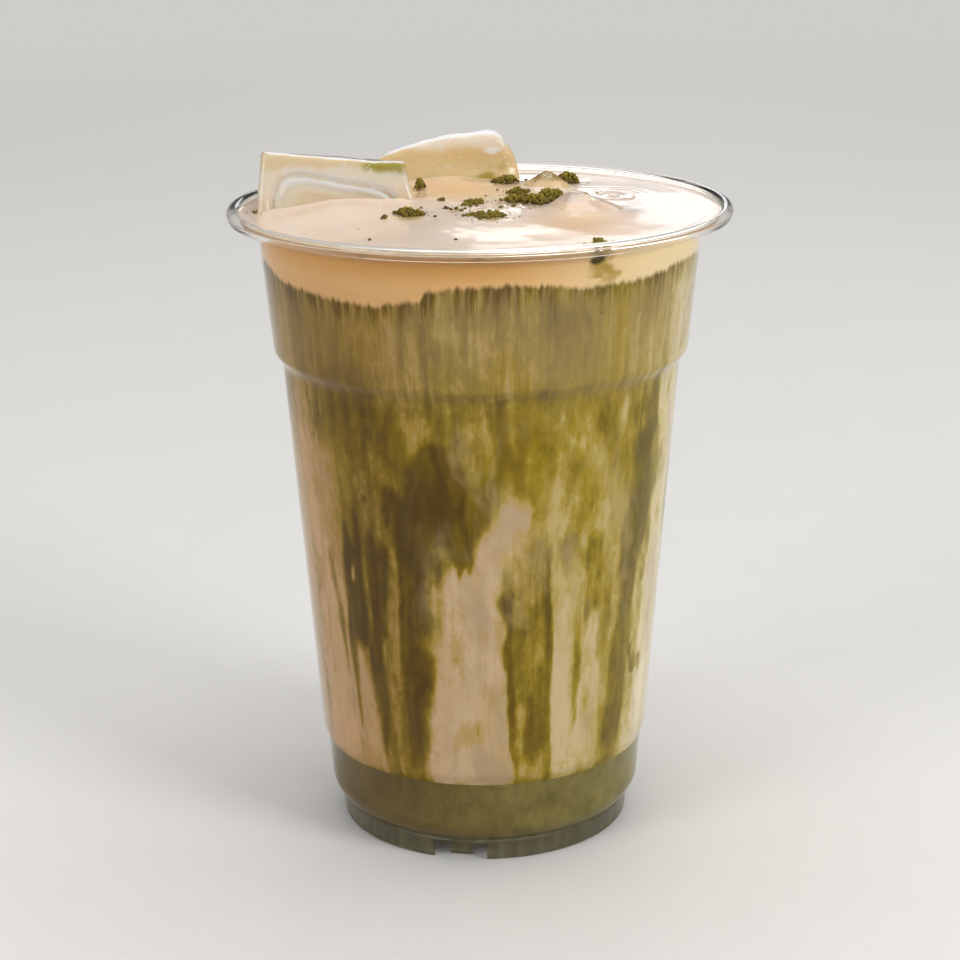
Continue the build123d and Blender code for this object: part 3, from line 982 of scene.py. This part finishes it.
# yellow-green stains round the powder: x, y, size, strength
stains = [(17, 20, 3.4, 0.9), (5, 19, 3.8, 0.9), (-1, 20, 3.6, 0.8), (7, 4.5, 2.6, 0.8),
          (9.5, -4, 5.5, 0.7), (4.5, -3.5, 3, 0.7), (14.5, 1, 3.4, 0.8), (2, -17, 4.2, 0.7),
          (-13, -15, 3.4, 0.9), (12, 12, 4.4, 0.8), (-4.5, -10.5, 1.6, 0.8), (20.9, -36.5, 2.6, 1),
          (-20.5, -37.5, 1.6, 0.8), (-21.6, -24, 1, 0.7), (-0.3, -43.2, 1.7, 0.9), (3.4, -43.4, 1, 0.7),
          (-41, -3, 3, 0.6), (-7, -42.8, 0.8, 0.6)]


def cream_side_colour(nodes):
    """The cream as it shows through the wall: tan and warmer on the left; darker and more orange under the
    lip, painted shade of the lip; paler on the right, painted light.
    """
    cloud = nodes.noise((1, 1, 0.5), 90)
    low = nodes.blend(cloud, (214, 172, 120), (205, 162, 106))
    # darker and more orange high up: painted shade under the lip
    high = nodes.blend(cloud, (202, 154, 92), (194, 146, 80))
    unlit_left = nodes.blend(nodes.span(nodes.along(2), 0.1135, 0.1180), low, high)
    # paler to the right: painted light
    pale = nodes.blend(cloud, (222, 202, 162), (217, 194, 148))
    return nodes.blend(nodes.span(nodes.along(0), -0.002, 0.036), unlit_left, pale)


def cream_top_colour(nodes):
    """Pinkish cream, a little paler on the right, painted light."""
    cloud = nodes.noise(evenly, 70)
    unlit_left = nodes.blend(cloud, (243, 222, 202), (237, 211, 188))
    pale = nodes.blend(cloud, (242, 224, 210), (236, 214, 200))
    return nodes.blend(nodes.span(nodes.along(0), 0.012, 0.034), unlit_left, pale)


def cream_material():
    nodes = Nodes("cream_paint")
    side = nodes.attribute("side")
    colour = nodes.blend(nodes.attribute("peach"), cream_top_colour(nodes), (240, 202, 156))
    colour = nodes.blend(side, colour, cream_side_colour(nodes))
    patchy = nodes.noise(evenly, 420, 4, 0.65)
    colour = nodes.paint(colour, nodes.blend(side, (178, 146, 62), (150, 122, 24)),
                         nodes.ragged("stain", patchy, 0.9, 0.25, 0.95, 0.85))
    colour = nodes.paint(colour, (70, 58, 16), nodes.ragged("dark", patchy, 0.8, 0.3, 0.85))
    # thin dark lines where the cream is thin and wet
    film = nodes.attribute("film")
    lines = nodes.math("SUBTRACT", nodes.noise((1, 2.4, 1), 260, 3, 0.5, 1.2), 0.5)
    lines = nodes.span(nodes.math("ABSOLUTE", lines), 0.022, 0.006)
    colour = nodes.paint(colour, (120, 100, 66), lines, film)
    normal = nodes.bump(nodes.noise((1, 1.6, 1), 520, 4, 0.6), 0.25, 0.09)
    roughness = nodes.times(nodes.span(nodes.along(0), 0.008, 0.026, 0.15, 0.235),
                            nodes.span(film, 0.1, 0.8, 1, 0.45))
    wet = nodes.principled(colour, roughness, 1.4, Coat_Weight=0.2, Coat_Roughness=0.06,
                           Subsurface_Weight=0.15, Subsurface_Scale=0.002, Normal=normal)
    return nodes.finish(nodes.mix_shaders(side, wet, nodes.principled(colour, 0.45, 1.12)))


def make_cream():
    cream, points, _, _ = drink_piece("cream_top", 22, cream_edge_at(wall_azimuths) + feathered,
                                      cream_edge_level + 0.2, 150, cream_cap, eased_cap)
    x, y, z = points.T
    azimuths, out = np.degrees(np.arctan2(x, -y)), np.hypot(x, y)
    on_wall = out > 38
    spots = [(spot_x, spot_y, size, size, strength) for spot_x, spot_y, size, strength in stains]
    run = run_stain(azimuths, z) * (z < 119.8) * on_wall
    set_attribute(cream, "stain", np.maximum(hills(x, y, spots), run))
    set_attribute(cream, "dark", hill(azimuths, 29.2, 3.0, z, 118.2, 1.1) * on_wall)
    set_attribute(cream, "side", smooth((119.9 - z) / 0.5 + 0.5) * smooth((out - 40) / 0.5))
    set_attribute(cream, "peach", hills(x, y, [(-5, 12, 12, 11, 1), (18, -24, 11, 9, 0.8)]))
    set_attribute(cream, "film", np.minimum(hill(x, 1, 9, y, -9, 9) + hill(x, 25, 8, y, 6, 7), 1))
    cream.data.materials.append(cream_material())
    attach(cream, "root")
    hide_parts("cream")


def base_material():
    nodes = Nodes("matcha_base")
    mottle = nodes.noise((1, 1, 0.6), 240, 5, 0.7, 0.1)
    # greener and lighter to the right: partly the layer's own colour, partly painted light
    tint_and_light_to_right = nodes.span(nodes.along(0), -0.02, 0.026)
    dark = nodes.blend(tint_and_light_to_right, (89, 72, 34), (98, 89, 42))
    light = nodes.blend(tint_and_light_to_right, (112, 94, 52), (132, 121, 68))
    grainy = nodes.vary(nodes.span(mottle, 0.25, 0.75), nodes.noise(evenly, 1500, 2), 0.35)
    colour = nodes.blend(grainy, dark, light)
    colour = nodes.paint(colour, (96, 80, 24), nodes.ragged("sunk", mottle, 1.2, 0.35, 0.8, 0.7))
    colour = nodes.paint(colour, (70, 64, 26), nodes.span(nodes.cells(620), 0.22, 0.10),
                         nodes.span(nodes.noise(evenly, 260, 2), 0.52, 0.60), 0.55)
    return nodes.finish(nodes.principled(colour, 0.5, 1.12, Normal=nodes.bump(mottle, 0.1, 0.1)))


def make_base_layer():
    base, _, azimuths, levels = drink_piece("matcha_base", 34, foot_height, base_layer_top, 4,
                                            flat_cap, flat_cap, reach)
    trail = matcha_at(azimuths, np.full(len(levels), base_layer_top + 3)) * smooth((levels - 12.5) / 5)
    set_attribute(base, "sunk", trail)
    base.data.materials.append(base_material())
    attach(base, "root")
    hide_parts("base_layer")


# ---- ice ----
def rounded_block(size, rounding, cuts):
    """Points and faces of a block with rounded edges round the origin."""
    shape = bmesh.new()
    bmesh.ops.create_cube(shape, size=1.0)
    bmesh.ops.subdivide_edges(shape, edges=shape.edges, cuts=cuts, use_grid_fill=True)
    points, faces = points_and_faces(shape)
    points *= size
    core = np.array(size) / 2 - rounding
    inner = np.clip(points, -core, core)
    away = points - inner
    return inner + away / np.linalg.norm(away, axis=1)[:, None] * rounding, faces


def place_block(points, place, turn):
    """Turns about X, then Y, then Z of the block itself, as in the CAD model, and moves it."""
    x, y, z = (radians(angle) for angle in turn)
    spin = Matrix.Rotation(x, 3, "X") @ Matrix.Rotation(y, 3, "Y") @ Matrix.Rotation(z, 3, "Z")
    return points @ np.array(spin).T + (place[0], place[1], cup_height + place[2])


def melt(points, seed, coarse, fine):
    """Uneven surface of melting ice."""
    shift = np.stack([fractal(points / 6.0 + turn * 31.7, 2, seed + turn) for turn in range(3)], 1)
    small = np.stack([fractal(points / 1.7 + turn * 17.3, 2, seed + 9 + turn) for turn in range(3)], 1)
    return points + coarse * shift + fine * small


def keep_inside(points):
    """Pushes points back inside the cup's wall and lip."""
    out = np.hypot(points[:, 0], points[:, 1])
    most = np.where(points[:, 2] < flare_level, inside_radius(points[:, 2]), flare_end) - 0.1
    points[:, :2] *= np.minimum(1, most / np.maximum(out, 1e-6))[:, None]
    return points


def ice_material(name, low, high, top, stain_colour, levels, clearness):
    """Cloudy ice, clear in part, with bubbles, a stain, painted white highlights and painted grey shade.

    Its colour changes from low to high between the first two levels, and to top between the others."""
    nodes = Nodes(name)
    cloud = nodes.noise(evenly, 160, 4, 0.6, 0.6)
    wavy = nodes.vary(nodes.along(2), cloud, 0.006)
    colour = nodes.blend(nodes.span(wavy, levels[0] * MM, levels[1] * MM), low, high)
    colour = nodes.blend(nodes.span(wavy, levels[2] * MM, levels[3] * MM), colour, top)
    patchy = nodes.noise(evenly, 700, 4)
    colour = nodes.paint(colour, stain_colour, nodes.ragged("stain", patchy, 0.8, 0.2, 0.9, 0.9))
    bubbles = nodes.times(nodes.span(nodes.cells(1100), 0.28, 0.16),
                          nodes.span(nodes.noise(evenly, 210, 1), 0.5, 0.62))
    colour = nodes.paint(colour, (246, 244, 236), bubbles, 0.55)
    # painted white highlights where the glint attribute is high, broken up by a noise
    glint_breakup = nodes.noise((0.45, 1, 1.6), 620, 5, 0.7, 0.6)
    colour = nodes.paint(colour, (255, 255, 254), nodes.ragged("glint", glint_breakup, 1.6, 0.30, 0.65, 0.95))
    # painted grey shade where the glint attribute is negative
    painted_grey_shade = nodes.span(nodes.attribute("glint"), -0.15, -0.6, 0, 0.6)
    colour = nodes.paint(colour, (150, 154, 160), painted_grey_shade)
    height = nodes.plus(nodes.noise((0.5, 1, 2.2), 900, 4, 0.6, 0.4), bubbles, 0.3)
    return nodes.finish(nodes.principled(
        colour, nodes.span(cloud, 0.3, 0.7, 0.05, 0.2), 1.31, Transmission_Weight=clearness,
        Subsurface_Weight=0.5, Subsurface_Scale=0.002, Coat_Weight=0.6, Coat_Roughness=0.05,
        Normal=nodes.bump(height, 0.5, 0.16)))


def finish_ice(name, points, faces, stain, glint, material, node):
    piece = mesh_piece(name, keep_inside(points), faces, 80)
    face_outwards(piece)
    set_attribute(piece, "stain", stain)
    set_attribute(piece, "glint", glint)
    piece.data.materials.append(material)
    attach(piece, "root")
    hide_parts(node)


# the slab at the left, as in the CAD model, its place counted from the lip
slab_size = (30.5, 16, 19)
slab_place = (-26.9, 4.3, -1.7)
slab_turn = (-9, 4.9, 6)


def make_ice_left():
    points, faces = rounded_block(slab_size, 1.1, 62)
    x, y, z = points.T
    # the right end leans in towards the top, and the front has a scoop melted into it
    points[:, 0] = x - 3.2 * smooth((z + 3) / 12.5) * smooth((x + 2) / 17)
    front = smooth((-y - 1.0) / 5.0)
    out = (np.abs(x + 0.6) / 12.8) ** 6 + (np.maximum(0, z + 8.0 + 0.11 * x) / 14.2) ** 6
    depth_in = (1 - out ** (1 / 6)) * 13.5
    scoop = 1.5 * smooth(depth_in / 1.3) - 0.8 * hill(depth_in, 1.9, 0.5)
    scoop -= 0.5 * hill(depth_in, 3.6, 0.7) * smooth((4 - x) / 6)
    points[:, 1] += front * (scoop * (z > -8.5) - 1.1 * smooth((0.5 - z) / 7) * (depth_in > 0))
    world = melt(place_block(points, slab_place, slab_turn), 61, 0.28, 0.06)
    stain = hills(x, z, [(8.5, 8.6, 6.5, 1.6, 1), (13.0, -1.5, 2.2, 3.5, 0.8), (3.0, 1.0, 6, 1.4, 0.55)])
    # painted highlights along the scoop's edges, with painted grey shade where the values go negative, and a
    # painted highlight along the top front edge
    streak = hill(depth_in, 0.5, 0.5) + hill(depth_in, 2.0, 0.6) * (x < 9)
    streak -= 0.9 * hill(depth_in, 1.25, 0.3) * smooth((-2 - x) / 2)
    glint = front * streak * smooth((z - 0.5) / 2) * smooth((x + 13) / 3) * smooth((13 - x) / 4)
    glint = np.maximum(glint, 0.8 * hill(z, 9.3, 0.25) * (y < -6.6))
    material = ice_material("clear_ice", (246, 226, 196), (242, 234, 216), (236, 218, 178),
                            (172, 164, 56), (122.5, 126.0, 128.4, 130.0), 0.25)
    finish_ice("ice_slab_left", world, faces, stain, glint, material, "ice_left")


def make_ice_back():
    points, faces = rounded_block((1.0, 1.0, 1.0), 0.2, 54)
    along, deep, up = (points + 0.5).T
    x = mix(-22.6, 8.0, along)
    # the crest runs along the front edge, and the top falls away behind it
    crest = np.interp(x, [-23, -20, -16, -12, -8, -4, 0, 3, 4.6, 6, 7.2, 8.2],
                      [126.2, 127.7, 129.2, 130.4, 131.4, 132.0, 132.3, 132.1, 131.4, 129.8, 127.4, 124.0])
    z = mix(114.0, crest - 5.5 * deep ** 1.3 * smooth((crest - 121.5) / 4), up)
    lean = 0.16 * (z - 118.0)
    y = mix(22.6, 36.5, deep) + lean * (1 - deep) + 0.07 * (x + 7)
    y += 1.4 * hill(x, -3, 9, z, 125.5, 2.2) * (1 - deep)
    world = melt(np.stack([x, y, z], 1), 71, 0.5, 0.10)
    stain = hills(x, z, [(1.0, 122.8, 3, 1.2, 1), (4.5, 124.8, 4, 1.6, 0.5)])
    # painted highlights: along the top edge and in a patch on the front
    glint = np.maximum(hill(up, 0.965, 0.03) * (deep < 0.5), 0.8 * hill(x, 2.6, 2.0, z, 127.8, 1.0))
    material = ice_material("milky_ice", (238, 206, 156), (236, 212, 160), (246, 232, 212),
                            (180, 160, 56), (122.5, 125.0, 127.4, 129.6), 0.12)
    finish_ice("ice_slab_back", world, faces, stain, glint, material, "ice_back")


def tent(peak, foot, spans):
    """A corner of ice standing up: a rounded top, and flanks that reach as far as spans at the foot."""
    rings, segments = 44, 96
    turns = np.linspace(0, 2 * pi, segments, endpoint=False)
    right, back = tent_reach(turns, spans) * (np.cos(turns), np.sin(turns))
    points = [np.stack([peak[0] + share * right, peak[1] + share * back,
                        np.full(segments, tent_level(share, peak, foot))], 1)
              for share in np.linspace(0, 1, rings + 1)[1:]]
    points = np.concatenate(points + [[peak, (peak[0], peak[1], foot)]])
    faces = ring_faces(rings, segments) + fan(0, len(points) - 2, segments, True)
    return points, faces + fan((rings - 1) * segments, len(points) - 1, segments, False)


def make_ice_right():
    points, faces = tent(*right_corner)
    # a wet ridge runs down from the peak to the right
    peak_x, peak_y, _ = right_corner[0]
    x, y, z = points.T
    ridge = (y - peak_y) + 0.3 * (x - peak_x) + 0.4
    points[:, 2] += 0.2 * hill(ridge, 0, 0.7) * smooth((x - peak_x - 0.5) / 2) * (z > 119.6)
    # a painted highlight along the ridge
    glint = 0.42 * hill(ridge, 0, 1.3) * smooth((x - peak_x - 1.5) / 2)
    material = ice_material("coated_ice", (243, 209, 176), (232, 203, 176), (198, 181, 167),
                            (170, 150, 90), (122.4, 124.6, 124.2, 125.8), 0.0)
    finish_ice("ice_corner_right", melt(points, 81, 0.25, 0.03), faces, [], glint, material, "ice_right")


def make_ice_centre():
    points, faces = tent(*centre_corner)
    stain = 0.8 * smooth((points[:, 2] - 123.3) / 1.6)
    material = ice_material("tan_ice", (232, 198, 152), (222, 188, 138), (204, 172, 116),
                            (150, 122, 50), (121.5, 123.5, 124.2, 125.4), 0.05)
    finish_ice("ice_corner_centre", melt(points, 91, 0.45, 0.10), faces, stain, [], material, "ice_centre")


# ---- matcha powder ----
# clumps: x, y, lift over the cream, half width, half depth, height, number of grains
clumps = [(17.4, 22.5, 0.3, 2.2, 2.2, 1.9, 150), (14.9, 20.5, 0.2, 1.1, 1.2, 0.9, 40),
          (5.4, 19.6, 0.2, 2.3, 1.8, 1.3, 120), (3.4, 19.2, 0.1, 1, 1, 0.6, 30),
          (7.2, 6.4, 0.1, 1.7, 2, 1, 80), (8.6, 2.8, 0.1, 0.9, 1.2, 0.5, 25),
          (6.6, -1, 0.1, 2.3, 2.2, 0.9, 100), (10.4, -4.2, 0.2, 2.4, 3.2, 1.5, 180),
          (12.9, 0.6, 0.3, 2.3, 3.2, 1.6, 170), (14.6, 4.6, 0.3, 1.2, 1.4, 0.9, 40),
          (1.6, -15, 0, 2.9, 2.6, 0.7, 110), (-1.6, -14.6, 0, 1.2, 1.4, 0.3, 25),
          (-0.8, -2.6, 0, 1.8, 2.6, 0.5, 60), (-2.4, -5, 0, 1.2, 1.8, 0.3, 25),
          (20, 3.6, 0.1, 0.9, 0.9, 0.7, 30), (-13.2, -13, 0.2, 1.9, 1.6, 1.2, 110),
          (-11.3, -13.2, 0.1, 1.2, 1.2, 0.8, 35), (-11.5, 12.4, 0.5, 0.8, 1.4, 1.7, 60),
          (20.8, -38.6, -0.1, 1.5, 2.2, 0.7, 45), (20.6, -34.4, -0.1, 1.2, 1.6, 0.4, 25),
          (-41.6, -3, 0, 0.9, 1.6, 0.3, 14)]
# crumbs: x, y, size
crumbs = [(-17.4, -16.4, 0.55), (-6.9, -2.4, 0.62), (-6.4, -8.2, 0.5), (-10.8, -8, 0.3), (-8.2, -15, 0.32),
          (13.3, 30, 0.35), (6.4, -7.4, 0.4), (3.9, -8, 0.35), (-3.4, -10.6, 0.35), (-4.3, -8.8, 0.45),
          (-5.3, -9.6, 0.3), (-2.7, -8.8, 0.3), (22.4, 8.4, 0.25), (11, 9.8, 0.35), (14, 13.6, 0.3),
          (-4.2, -33.6, 0.3), (-19.3, -32.8, 0.3), (3.4, 10.4, 0.25), (1.2, 4.6, 0.2), (9.4, 24, 0.3)]
grains_in_crumb = 9


def sphere():
    """Points and faces of a ball with radius 1."""
    shape = bmesh.new()
    bmesh.ops.create_icosphere(shape, subdivisions=2, radius=1.0)
    return points_and_faces(shape)


def powder_material():
    nodes = Nodes("matcha_powder")
    grain = nodes.noise(evenly, 2600, 4, 0.7)
    colours = [(0.0, (40, 32, 10)), (0.3, (84, 70, 14)), (0.55, (132, 114, 24)), (0.8, (162, 142, 40)),
               (1.0, (184, 166, 70))]
    # the tone attribute holds the grains' own tones and, in the heaps, painted light and shade
    colour = nodes.ramp(nodes.vary(nodes.attribute("tone"), grain, 0.9), colours)
    return nodes.finish(nodes.principled(colour, 0.85, Normal=nodes.bump(grain, 0.8, 0.12)))


def heap_grains(random, x, y, lift, wide, deep, tall, count):
    """Places, sizes and tones of the grains heaped up in a clump; the tones carry painted light and shade.
    """
    turn = random.uniform(0, 2 * pi, count)
    out = np.sqrt(random.uniform(0, 1, count))
    out *= 1 + 0.25 * np.sin(3 * turn + x) + 0.15 * np.sin(5 * turn + y)
    place_x, place_y = x + wide * out * np.cos(turn), y + deep * out * np.sin(turn)
    heap = np.maximum(0, 1 - out ** 2) * tall
    share = random.uniform(0, 1, count) ** 0.5
    level = cream_surface(place_x, place_y) + lift + heap * share
    sizes = random.uniform(0.17, 0.42, count) * (0.75 + 0.25 * min(1, tall))
    # grains high up and in the middle of a heap are lighter, the low ones darker: painted light and shade,
    # with a random tone on top
    tones = 0.30 + 0.42 * share * np.maximum(0, 1 - 0.6 * out) + random.uniform(-0.1, 0.12, count)
    return np.stack([place_x, place_y, level], 1), sizes, tones


def stray_grains(random, x, y, wide, deep, count):
    """Places, sizes and tones of the fine grains strewn round a clump."""
    turn, out = random.uniform(0, 2 * pi, count), random.uniform(1.0, 2.3, count)
    place_x, place_y = x + wide * out * np.cos(turn), y + deep * out * np.sin(turn)
    places = np.stack([place_x, place_y, cream_surface(place_x, place_y)], 1)
    return places, random.uniform(0.05, 0.16, count), random.uniform(0.15, 0.5, count)


def crumb_grains(random, x, y, size):
    """Places, sizes and tones of the grains that make up a crumb."""
    level = cream_surface(np.array([x]), np.array([y]))[0] + size * 0.2
    count = grains_in_crumb
    places = random.normal(0, size * 0.42, (count, 3)) * (1, 1, 0.5) + (x, y, level)
    return places, random.uniform(0.4, 0.7, count) * size, random.uniform(0.2, 0.5, count)


def make_powder():
    random = np.random.default_rng(8)
    grains = []
    for x, y, lift, wide, deep, tall, count in clumps:
        grains.append(heap_grains(random, x, y, lift, wide, deep, tall, count))
        grains.append(stray_grains(random, x, y, wide, deep, count // 4))
    grains += [crumb_grains(random, *crumb) for crumb in crumbs]
    places, sizes, tones = (np.concatenate(values) for values in zip(*grains))
    unit, unit_faces = sphere()
    number = len(places)
    stretch = random.uniform(0.75, 1.25, (number, 1, 3))
    shift = random.uniform(0, 90, (number, 1, 3))
    bumps = 1 + 0.38 * fractal((unit * 1.5 + shift).reshape(-1, 3), 2, 97).reshape(number, -1, 1)
    points = (unit * stretch * bumps * sizes[:, None, None] + places[:, None, :]).reshape(-1, 3)
    faces = (unit_faces + (np.arange(number) * len(unit))[:, None, None]).reshape(-1, 3)
    powder = mesh_piece("matcha_powder", keep_inside(points), faces, 60)
    set_attribute(powder, "tone", np.repeat(tones, len(unit)))
    powder.data.materials.append(powder_material())
    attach(powder, "root")


make_camera()
make_lights()
make_floor()
make_cup()
make_base_layer()
make_latte()
make_cream()
make_ice_left()
make_ice_back()
make_ice_right()
make_ice_centre()
make_powder()

bpy.context.scene.view_settings.view_transform = "Standard"
